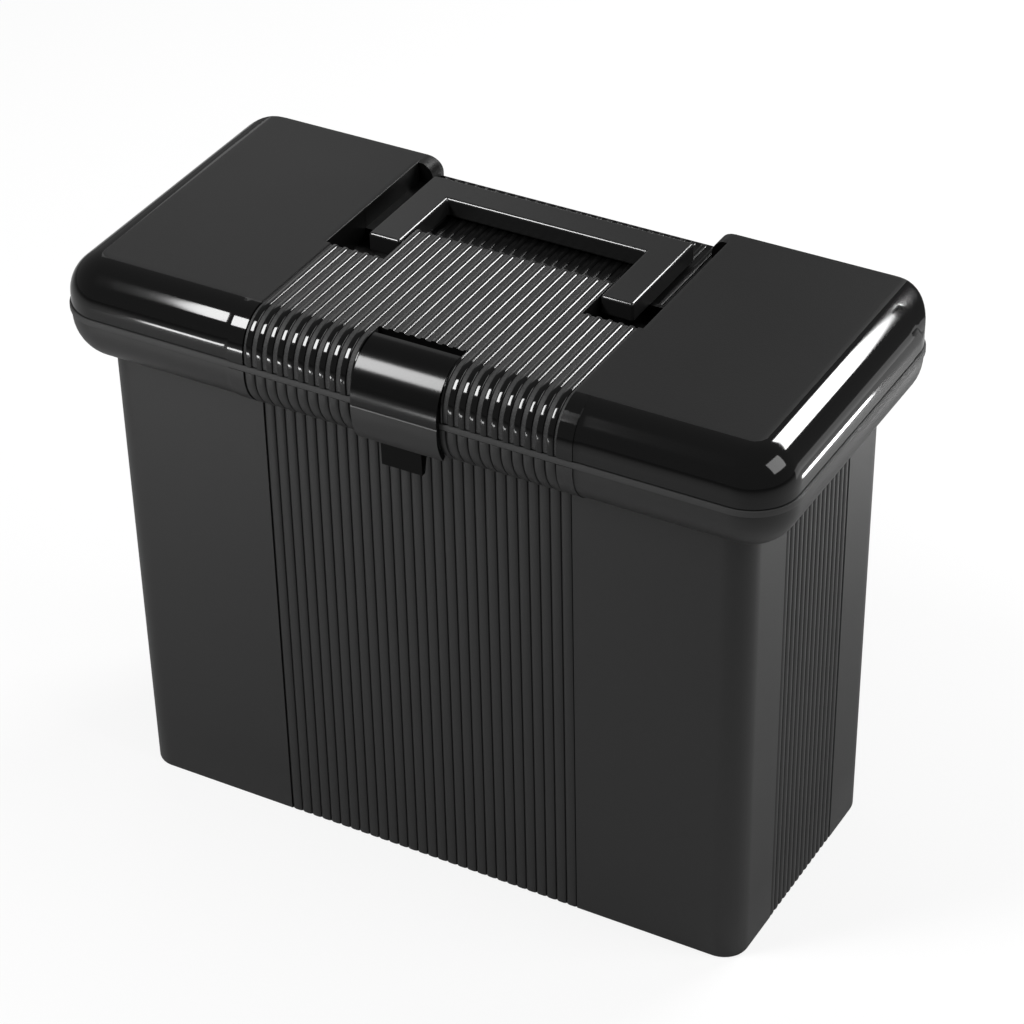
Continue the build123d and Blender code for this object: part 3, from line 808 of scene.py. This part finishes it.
# -- lid
@dataclass(frozen=True)
class Pocket:
    """Rectangular recess in the lid's top."""

    x_low: float
    x_high: float
    y_low: float
    y_high: float
    floor: float

    def height(self, x: Array, y: Array, grow: float) -> Array:
        """Height of the surface near this recess, with a softened rim on the outside face."""
        wide = np.maximum(self.x_low - grow - x, x - self.x_high - grow)
        gap = np.maximum(wide, np.maximum(self.y_low - grow - y, y - self.y_high - grow))
        soft = 0.5 if grow == 0 else 0.0
        near = np.clip(soft - gap, 0, soft)
        rim = LID_TOP_Z - grow - (soft - np.sqrt(np.maximum(soft**2 - near**2, 0)))
        return np.where(gap < NEAR, self.floor - grow, rim)


def edge_lines(at: float, side: int) -> list[float]:
    """Mesh lines at a recess's wall and up its softened rim on one side."""
    return [at + side * step for step in (0.0, WALL_STEP, 0.1, 0.24, 0.5)]


def wall_lines(*walls: tuple[float, int]) -> list[float]:
    """Pairs of mesh lines at upright walls, each given with the side that is higher."""
    return [at + side * step for at, side in walls for step in (0.0, WALL_STEP)]


@dataclass
class Lid:
    """Rolled lid with the handle's well, the latch's pocket and the reeded band."""

    roll: float = 18.0
    roll_z: float = 261.4
    flat: float = 4.0
    well_x: float = 78.5
    well_front: float = -8.5
    well_back: float = 72.0
    pad_x: float = 49.3
    pad_back: float = 19.5
    pit_back: float = 24.0
    well_floor: float = 269.4
    pit_floor: float = 263.4
    valley_x: float = 71.0
    latch_x: float = 21.5
    back_y: float = BACK_Y
    floor_reeds_y: float = 26.41
    skirt_z: float = 258.6
    hem_z: float = 257.05
    slot_back: float = -58.5
    slot_radius: float = 4.7
    slot_under_back: float = -56.5
    slot_under_z: float = 268.2

    def pockets(self) -> list[Pocket]:
        """Recesses that make the well round the pad, and the pits in it."""
        well, pit = self.well_floor, self.pit_floor
        return [
            Pocket(-self.well_x, -self.pad_x, self.well_front, self.well_back, well),
            Pocket(self.pad_x, self.well_x, self.well_front, self.well_back, well),
            Pocket(-self.well_x, self.well_x, self.pad_back, self.well_back, well),
            Pocket(-self.well_x, -self.pad_x, self.well_front, self.pit_back, pit),
            Pocket(self.pad_x, self.well_x, self.well_front, self.pit_back, pit),
        ]

    def relief(self, x: Array, y: Array, grow: float) -> Array:
        """Height of the top, or of its underside when grown by the skin, at plan points."""
        z = np.full(x.shape, LID_TOP_Z - grow)
        for pocket in self.pockets():
            z = np.minimum(z, pocket.height(x, y, grow))
        wide = np.abs(x)
        shoulder = self.well_x - self.valley_x
        radius = shoulder - grow
        across = np.clip(self.well_x - wide, 0, radius)
        valley = LID_TOP_Z - shoulder + np.sqrt(np.maximum(radius**2 - across**2, 0))
        valley = np.where(wide < self.valley_x + grow + NEAR, self.well_floor - grow, valley)
        behind = (y > self.well_back + grow + NEAR) & (wide < self.well_x)
        z = np.where(behind, np.minimum(z, valley), z)
        if grow == 0:
            across = y - LATCH_PIVOT[0]
            slot = LATCH_PIVOT[1] - np.sqrt(np.maximum(self.slot_radius**2 - across**2, 0))
            slot_back = self.slot_back
        else:
            slot = np.full(x.shape, self.slot_under_z)
            slot_back = self.slot_under_back
        in_slot = (wide < self.latch_x + grow + NEAR) & (y < slot_back + NEAR)
        return np.where(in_slot & (-CORE_Y - y < NEAR), slot, z)

    def lines(self) -> tuple[Array, Array, Array]:
        """Mesh lines across the top: X lines, Y lines over the core, Y lines behind it."""
        turns = np.radians((12, 24, 36, 48, 60, 75))
        half = (
            edge_lines(self.pad_x, -1)
            + edge_lines(self.well_x, 1)
            + [self.well_x - (self.well_x - self.valley_x) * math.cos(turn) for turn in turns]
            + wall_lines((self.pad_x - SKIN, -1), (self.well_x + SKIN, 1), (self.valley_x, 1))
            + wall_lines((self.valley_x + SKIN, 1), (self.latch_x, 1), (self.latch_x + SKIN, 1))
            + [self.latch_x + 0.3, *PANEL_EDGE, *np.linspace(92, CORE_X, 7)]
        )
        reeds = reed_lines(REED_PITCH, REED_COUNT, ReedStyle.BEAD)
        x_lines = merge_lines(reeds, mirrored(half))
        y_core = merge_lines(
            np.linspace(-CORE_Y, CORE_Y, 17),
            edge_lines(self.well_front, -1),
            edge_lines(self.pad_back, -1),
            edge_lines(self.slot_back, 1),
            wall_lines((self.pit_back, 1), (self.pit_back + SKIN, 1), (self.pad_back - SKIN, -1)),
            wall_lines((self.well_front - SKIN, -1), (self.slot_under_back, 1)),
        )
        y_back = wall_lines((self.well_back, 1), (self.well_back + SKIN, 1))
        y_back = [*np.arange(61.5, 72, 2), *y_back, 75.5, 76.8, 78.0, 79.15]
        return x_lines, y_core, np.array(y_back)

    def roll_height(self, x: Array, inset: float) -> Array:
        """Height of the end's roll over plan points beyond the core."""
        beyond = np.clip(x - CORE_X - self.flat, 0, self.roll - inset)
        return self.roll_z + np.sqrt(np.maximum((self.roll - inset) ** 2 - beyond**2, 0))

    def roll_rows(self, panel: float, inset: float) -> Array:
        """Section of the plain or raised roll: reach, height, and the way its reeds sink."""
        radius = self.roll - inset
        flat, foot = self.flat + panel, self.flat + panel + radius
        rows = [(reach, LID_TOP_Z - inset, 0, -1) for reach in (0, 2 + panel / 2, flat)]
        for turn in np.radians([*range(5, 65, 5), *range(66, 96, 6)]):
            out, up = math.sin(turn), math.cos(turn)
            rows.append((flat + radius * out, self.roll_z + radius * up, -out, -up))
        hem = foot - (0.2 if inset == 0 else 0)
        for reach, z in ((foot, self.skirt_z), (foot, self.hem_z), (hem, LID_BOTTOM_Z)):
            rows.append((reach, z, -1, 0))
        return np.array(rows, float)

    def pocket_rows(self, inset: float) -> Array:
        """Section of the recess under the latch, in the same form as the roll's."""
        if inset:
            rows = [(0, self.slot_under_z)]
            rows += [(0.8 * i, self.slot_under_z + 1.2 * max(0, i - 7)) for i in range(1, 11)]
            large, start = 16.75, 14.0
        else:
            turns = [math.radians(-47.2 + 14.76 * i) for i in range(11)]
            middle, radius = -CORE_Y - LATCH_PIVOT[0], self.slot_radius
            heights = [LATCH_PIVOT[1] - radius * math.cos(turn) for turn in turns]
            rows = [(middle + radius * math.sin(turn), z) for turn, z in zip(turns, heights)]
            large, start = 18.75, 12.5
        for i in range(10):
            turn = math.radians(start + (90 - start) * i / 9)
            rows.append((self.flat + large * math.sin(turn), HASP_ROLL_Z + large * math.cos(turn)))
        rows += [(self.flat + large, self.hem_z), (self.flat + large, LID_BOTTOM_Z)]
        return np.array([(reach, z, 0, 0) for reach, z in rows], float)

    def rim_rows(
        self, outline: float, ball: float, ball_z: float, first: float, low: float
    ) -> list[Point2]:
        """Rows that turn over a back rim and run down the skirt below it.

        Args:
            outline: Reach of the skirt.
            ball: Radius of the softened rim.
            ball_z: Height of the rim's centre.
            first: Angle at which the rim starts, in radians from upright.
            low: Height from which the skirt runs down.

        Returns:
            Rows of reach and height.
        """
        angles = [first + (math.pi / 2 - first) * i / 5 for i in range(1, 6)]
        rows = [(outline - ball + ball * math.sin(a), ball_z + ball * math.cos(a)) for a in angles]
        middle = self.skirt_z + (low - self.skirt_z) / 2
        return rows + [(outline, middle), (outline, self.hem_z), (outline, LID_BOTTOM_Z)]

    def corner_rows(self, turn: float, y_back: Array, inset: float) -> Array:
        """Section at a back corner, where the roll runs out through the rounded plan."""
        outline = RIM_CORNER - inset
        ball = 2.6 if inset == 0 else 0.2
        reach = np.linspace(0, outline, 400)
        top = self.roll_height(CORE_X + reach * math.cos(turn), inset)
        near = reach >= outline - 2 * ball
        centre = top[near] - np.sqrt(np.maximum(ball**2 - (reach[near] - outline + ball) ** 2, 0))
        ball_z = centre.min()
        touch = reach[near][centre.argmin()]
        spots = touch * (y_back - CORE_Y) / (y_back[-1] - CORE_Y)
        rows = [(0, float(top[0]))] + [(at, float(np.interp(at, reach, top))) for at in spots]
        first = math.asin(np.clip((touch - outline + ball) / ball, -1, 1))
        low = max(ball_z - 0.1, self.skirt_z + 0.1)
        rows += self.rim_rows(outline, ball, ball_z, first, low)
        return np.array([(at, z, 0, 0) for at, z in rows], float)

    def back_rows(self, x: float, y_back: Array, inset: float) -> Array:
        """Section down the back at one X line."""
        y_lines = np.concatenate([[CORE_Y], y_back])
        heights = self.relief(np.full(len(y_lines), x), y_lines, inset)
        top = float(heights[-1])
        share = np.clip((top - self.well_floor) / (LID_TOP_Z - self.well_floor), 0, 1)
        ball = (0.4 + 2.2 * share**2) if inset == 0 else 0.2
        rows = list(zip(y_lines - CORE_Y, heights))
        rows += self.rim_rows(self.back_y - CORE_Y - inset, ball, top - ball, 0.0, top - ball)
        return np.array([(at, z, 0, 0) for at, z in rows], float)

    @staticmethod
    def band_zones(x: Array, bead: Zone) -> Array:
        """Zone values across the band: the given one on the beads, the matte one between."""
        offset = np.abs((x / REED_PITCH + 0.5) % 1 - 0.5)
        return np.where(offset < ReedStyle.BEAD.curve[0], bead.value, Zone.VALLEY.value)

    def add_top(self, sheet: Sheet, x_lines: Array, y_lines: Array, inset: float) -> None:
        """Add the flat top with its recesses, over the core and behind it."""
        x, y = np.meshgrid(x_lines, y_lines, indexing="ij")
        z = self.relief(x, y, inset)
        points = np.stack([x, y, z], -1)
        down = np.zeros_like(points)
        if inset == 0:
            crest = (z > LID_TOP_Z - 0.6) & (y < self.pad_back + NEAR)
            crest &= np.abs(x) < BAND_HALF + BAND_MARGIN
            floor = (np.abs(z - self.well_floor) < 0.01) & (y > self.floor_reeds_y)
            floor &= np.abs(x) < self.valley_x - 0.1
            down[..., 2] = -(crest | floor).astype(float)
        middle = middles(points)
        wide = np.abs(middle[..., 0])
        # painted shade: faces sunk below the top, and the top's inside, take the dark well grey
        zones = np.where(middle[..., 2] < LID_TOP_Z - 0.7, Zone.WELL.value, Zone.SATIN.value)
        band = (wide < BAND_HALF) & (middle[..., 1] < self.pad_back) & (zones == Zone.SATIN.value)
        zones = np.where(band, self.band_zones(wide, Zone.CREST), zones)
        sheet.add_grid(points, zones, x, down)

    def add_skirt(self, sheet: Sheet, ring: Ring, y_back: Array, inset: float) -> Array:
        """Add the rolls and the skirt round the top, and return its bottom loop."""
        count, rows = len(ring.origin), len(y_back) + 9
        wide = np.abs(ring.origin[:, 0])
        front, back = ring.outward[:, 1] == -1, ring.outward[:, 1] == 1
        pocket = front & (wide < self.latch_x + inset + NEAR)
        proud = np.where(front & (inset == 0), PANEL_PROUD * panel_share(wide), 0.0)
        section = np.zeros((count, rows, 4))
        for i, (spot, way) in enumerate(zip(ring.origin, ring.outward)):
            if pocket[i]:
                section[i] = self.pocket_rows(inset)
            elif back[i]:
                section[i] = self.back_rows(spot[0], y_back, inset)
            elif way[1] > 1e-6:
                section[i] = self.corner_rows(math.asin(way[1]), y_back, inset)
            else:
                section[i] = self.roll_rows(proud[i], inset)
        section[:, 0, 1] = self.relief(ring.origin[:, 0], ring.origin[:, 1], inset)
        points = ring.place(section[:, :, 0], section[:, :, 1])
        reeded = front & ~pocket & (wide < BAND_HALF + BAND_MARGIN) & (inset == 0)
        inward = ring.tilt(section[:, :, 2], section[:, :, 3]) * reeded[:, None, None]
        around = looped(points)
        middle = middles(around)
        wide = np.abs(middle[..., 0])
        satin = middle[..., 2] > LID_TOP_Z - 8 - inset
        zones = np.where(satin, Zone.SATIN.value, Zone.GLOSS.value)
        banded = (middle[..., 1] < -CORE_Y) & (wide < BAND_HALF) & (inset == 0)
        shown = middle[..., 1] < -CORE_Y - self.flat
        zones = np.where(banded & shown, self.band_zones(wide, Zone.GLOSS), zones)
        zones = np.where(banded & ~shown, self.band_zones(wide, Zone.CREST), zones)
        flatness = 1 + 2.0 * np.clip((np.arange(rows) - 2) / 10, 0, 1)
        across = np.repeat(ring.origin[:, :1], rows, 1)
        layers = (looped(across), looped(inward), np.broadcast_to(flatness, (count + 1, rows)))
        first, last = np.flatnonzero(back)[[0, -1]]
        # behind the core, the rows up to the back's last line belong to the top
        for low, high, start in ((0, first, 0), (first, last, len(y_back)), (last, count, 0)):
            part = slice(low, high + 1), slice(start, None)
            patch = [layer[part] for layer in layers]
            sheet.add_grid(around[part], zones[low:high, start:], *patch)
        return points[:, -1]

    def surface(self, sheet: Sheet, inset: float) -> Array:
        """Add the outside (inset 0) or the inside of the lid to a sheet.

        Args:
            sheet: Sheet that takes the patches.
            inset: Thickness by which the surface is drawn in.

        Returns:
            The loop of points at the skirt's bottom.
        """
        x_lines, y_core, y_back = self.lines()
        self.add_top(sheet, x_lines, np.concatenate([y_core, y_back]), inset)
        return self.add_skirt(sheet, Ring.around(x_lines, y_core), y_back, inset)

    def shell(self) -> Object:
        """Mesh of the lid's moulding, inside and out."""
        sheet = Sheet()
        edges = [self.surface(sheet, inset) for inset in (0.0, SKIN)]
        sheet.add_grid(np.stack(edges, 1), Zone.GLOSS, closed=True)
        return sheet.build("lid_shell")

    def lip(self) -> Object:
        """Ring that locates the lid inside the mouth."""
        ring = Ring.around(np.array([-CORE_X, 0, CORE_X]), np.array([-CORE_Y, 0, CORE_Y]))
        shape = (len(ring.origin), 6)
        reach = np.broadcast_to([19.2, 19.2, 18.9, 17.9, 17.6, 17.6], shape)
        height = np.broadcast_to([258.4, 254.3, 254.0, 254.0, 254.3, 258.4], shape)
        points = ring.place(reach, height)
        sheet = Sheet()
        sheet.add_grid(np.concatenate([points, points[:, :1]], 1), Zone.GLOSS, closed=True)
        return sheet.build("lid_lip")

    def build(self) -> list[Object]:
        """Make the lid's pieces."""
        shell = self.shell()
        tool = ReedTool(REED_PITCH, REED_COUNT, REED_DEPTH, ReedStyle.BEAD)
        # the well zone takes painted shade
        finishes = (TOP_SATIN, LID_GLOSS, VALLEY_MATTE, CREST_GLOSS, WELL_PAINTED_SHADE)
        tool.apply(shell, dict(zip(Zone, finishes)))
        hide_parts("lid")
        pieces = [shell, self.lip(), Hinge().knuckles("lid_knuckles", 1)]
        for piece in pieces[1:]:
            LID_GLOSS.paint(piece)
        for piece in pieces:
            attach(piece, "lid_body")
        return pieces


# -- handle and latch
@dataclass
class Handle:
    """U-shaped handle that folds flat into its well."""

    half_x: float = 66.0
    arm: float = 16.0
    front: float = 6.5
    back: float = 65.0
    thickness: float = 9.4

    def build(self) -> list[Object]:
        """Make the grip, cored out from below."""
        low = LID_TOP_Z - self.thickness
        inner_x, inner_y = self.half_x - self.arm, self.back - self.arm
        corner = (self.half_x, self.back, LID_TOP_Z)
        grip = box_solid("handle_grip", (-self.half_x, self.front, low), corner)
        corner = (inner_x, inner_y, LID_TOP_Z + 1)
        combine(grip, [box_solid("gap", (-inner_x, self.front - 1, low - 1), corner)], "DIFFERENCE")
        soften(grip, 1.4, 5)
        pitch = (2 * self.half_x - SKIN) / 4
        half, deep = pitch / 2 - SKIN / 2, (inner_y + SKIN, self.back - SKIN)
        bar = [((i - 1.5) * pitch, half, *deep) for i in range(4)]
        arm_x = self.half_x - self.arm / 2
        arms = [(x, self.arm / 2 - SKIN, 21.5, inner_y) for x in (-arm_x, arm_x)]
        bays = [
            box_solid("bay", (x - half, front, low - 1), (x + half, back, LID_TOP_Z - SKIN))
            for x, half, front, back in bar + arms
        ]
        bays.append(profile_solid("bore", arc((13.5, 274.7), 2.0, 0, 350, 35), -59, 59))
        combine(grip, bays, "DIFFERENCE")
        settle(grip)
        HANDLE_SATIN.paint(grip)
        CREST_GLOSS.paint_where(
            grip, lambda spot, way: spot.z > 276 and max(map(abs, way)) < 0.985
        )
        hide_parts("handle")
        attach(grip, "handle_body")
        return [grip]


@dataclass
class Latch:
    """Curved hasp that swings over the mouth and hooks under the rim."""

    half_x: float = 21.0
    skin: float = 2.4
    front_y: float = -85.3
    hook_turn: float = 36.0

    def outline(self) -> list[Point2]:
        """Side view of the hasp as (y, z) points."""
        roll, hook = (-CORE_Y - 4, HASP_ROLL_Z), (-CORE_Y, RIM_ROLL_Z)
        roll_radius, hook_radius = roll[0] - self.front_y, hook[0] - self.front_y
        outside = [(LATCH_PIVOT[0], 279.0)] + arc(roll, roll_radius, 90, 180, 22)
        crease = [(self.front_y, 255.2), (self.front_y + 0.7, 254.75), (self.front_y, 254.2)]
        tip = 180 + self.hook_turn
        under = arc(hook, hook_radius, 180, tip, 9)
        inside = arc(hook, hook_radius - self.skin, tip, 180, 9)
        inside += arc(roll, roll_radius - self.skin, 180, 97, 20)
        barrel = arc(LATCH_PIVOT, 3.4, 158, 450, 20)
        return outside + crease + under + inside + barrel

    def build(self) -> list[Object]:
        """Make the hasp with its pull tab."""
        hasp = profile_solid("latch_hasp", self.outline(), -self.half_x, self.half_x)
        turn, reach = math.radians(self.hook_turn), -CORE_Y - self.front_y - self.skin / 2
        tip_y, tip_z = -CORE_Y - reach * math.cos(turn), RIM_ROLL_Z - reach * math.sin(turn)
        tab = [
            (tip_y - 0.7, tip_z + 1.0), (tip_y - 0.2, 225.0), (tip_y + 2.2, 225.0),
            (tip_y + 4.2, tip_z - 3.6), (tip_y + 0.9, tip_z + 0.9),
        ]
        combine(hasp, [profile_solid("tab", tab, -10, 10)], "UNION")
        soften(hasp, 0.45)
        LATCH_GLOSS.paint(hasp)
        WALL_SATIN.paint_where(hasp, lambda spot, way: 236.5 < spot.z < 254.6)
        # painted shade: the pull tab below the hook takes the dark tab grey
        TAB_PAINTED_SHADE.paint_where(hasp, lambda spot, way: spot.z <= 236.5)
        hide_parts("latch")
        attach(hasp, "latch_body")
        return [hasp]


# -- studio
@dataclass
class Studio:
    """Pale floor, soft lamps and the camera."""

    def camera(self) -> None:
        """Set the camera at its viewing angle."""
        data = bpy.data.cameras.new("camera")
        data.lens = 124.8706
        data.sensor_width = 36.0
        data.shift_x, data.shift_y = -2.5 / 1024, 2.0 / 1024
        obj = bpy.data.objects.new("camera", data)
        obj.location = (0.661915, -1.146725, 1.072307)
        obj.rotation_euler = Euler([math.radians(a) for a in (55.2177, 0.9085, 29.0114)])
        bpy.context.scene.collection.objects.link(obj)
        bpy.context.scene.camera = obj

    def lamp(
        self, name: str, place: Point3, aim: Point3, along: str, size: Point2, radiance: float
    ) -> None:
        """Add one softbox.

        Args:
            name: Name of the lamp.
            place: Its centre, in metres.
            aim: Point it is turned to.
            along: World axis that its first side stays parallel to.
            size: Length of that side and of the other one, in metres.
            radiance: Brightness of its face, where a white card in plain light is 1.
        """
        data = bpy.data.lights.new(name, "AREA")
        data.shape = "RECTANGLE"
        data.size, data.size_y = size
        data.energy = radiance * math.pi * size[0] * size[1]
        obj = bpy.data.objects.new(name, data)
        side = Vector((1, 0, 0)) if along == "X" else Vector((0, 1, 0))
        back = Vector(place) - Vector(aim)
        back = (back - side * back.dot(side)).normalized()
        turn = Matrix((side, back.cross(side), back)).transposed()
        obj.matrix_world = Matrix.Translation(place) @ turn.to_4x4()
        obj.visible_camera = False
        bpy.context.scene.collection.objects.link(obj)

    def surround(self) -> None:
        """Make the floor and the world, both white to the camera."""
        mesh = bpy.data.meshes.new("floor")
        mesh.from_pydata([(-8, -8, 0), (8, -8, 0), (8, 8, 0), (-8, 8, 0)], [], [(0, 1, 2, 3)])
        floor = bpy.data.objects.new("floor", mesh)
        bpy.context.scene.collection.objects.link(floor)
        material = bpy.data.materials.new("floor")
        material.use_nodes = True
        graph, nodes = Graph(material.node_tree), material.node_tree.nodes
        shader = nodes["Principled BSDF"]
        shader.inputs["Roughness"].default_value = 0.8
        seen = graph.add("ShaderNodeLightPath", output="Is Camera Ray")
        tone = graph.mix(seen, (0.5, 0.5, 0.5, 1), (0.95, 0.95, 0.95, 1), "RGBA")
        graph.feed(shader.inputs["Base Color"], tone)
        blend = {
            "Fac": graph.math("MULTIPLY", seen, 0.78),
            1: shader.outputs[0],
            2: graph.add("ShaderNodeEmission"),
        }
        surface = graph.add("ShaderNodeMixShader", blend)
        graph.feed(nodes["Material Output"].inputs["Surface"], surface)
        mesh.materials.append(material)
        world = bpy.data.worlds.new("studio")
        bpy.context.scene.world = world
        world.use_nodes = True
        graph = Graph(world.node_tree)
        seen = graph.add("ShaderNodeLightPath", output="Is Camera Ray")
        tone = graph.mix(seen, (0.2, 0.2, 0.2, 1), (1, 1, 1, 1), "RGBA")
        graph.feed(world.node_tree.nodes["Background"].inputs["Color"], tone)

    def build(self) -> None:
        """Set up everything round the object."""
        bpy.context.scene.view_settings.view_transform = "Standard"
        self.camera()
        self.surround()
        front_edge, front_low = (-0.05, -0.075, 0.275), (-0.03, -0.082, 0.262)
        lamps = (
            ("front_left", (-0.61, -0.70, 1.22), front_edge, "X", (0.32, 0.56), 25.0),
            ("front_low_left", (-0.400, -0.60, 0.035), front_low, "X", (0.125, 0.05), 20.0),
            ("front_low_right", (-0.232, -0.60, 0.035), front_low, "X", (0.075, 0.05), 10.0),
            ("back_right", (0.43, 0.965, 1.03), (0.167, -0.01, 0.277), "Y", (0.21, 0.60), 28.0),
            ("back_low", (0.447, 0.398, 0.034), (0.176, -0.02, 0.264), "Y", (0.09, 0.06), 30.0),
            ("back_left_card", (-0.66, 0.72, 0.72), (-0.12, 0, 0.28), "X", (0.5, 0.5), 0.6),
            ("right_card", (0.85, 0.75, 0.14), (0.17, 0, 0.15), "Y", (0.6, 0.26), 1.0),
            ("right_soft", (1.30, 0.15, 1.25), (0.2, 0.1, 0.1), "Y", (1.0, 0.8), 4.6),
        )
        for lamp in lamps:
            self.lamp(*lamp)


def dress_pins() -> None:
    """Give the carried-over CAD pins their metal."""
    for name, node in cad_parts.items():
        if name.endswith("_pin"):
            PIN_STEEL.paint(node)


def main() -> None:
    """Build the box, its finishes and the studio."""
    logging.basicConfig(level=logging.INFO)
    pieces = []
    for maker in (Tub(), Lid(), Handle(), Latch()):
        made = maker.build()
        for piece in made:
            triangles = sum(len(face.vertices) - 2 for face in piece.data.polygons)
            log.info("%s: %d triangles", piece.name, triangles)
        pieces += made
    dress_pins()
    Studio().build()


if __name__ == "__main__":
    main()
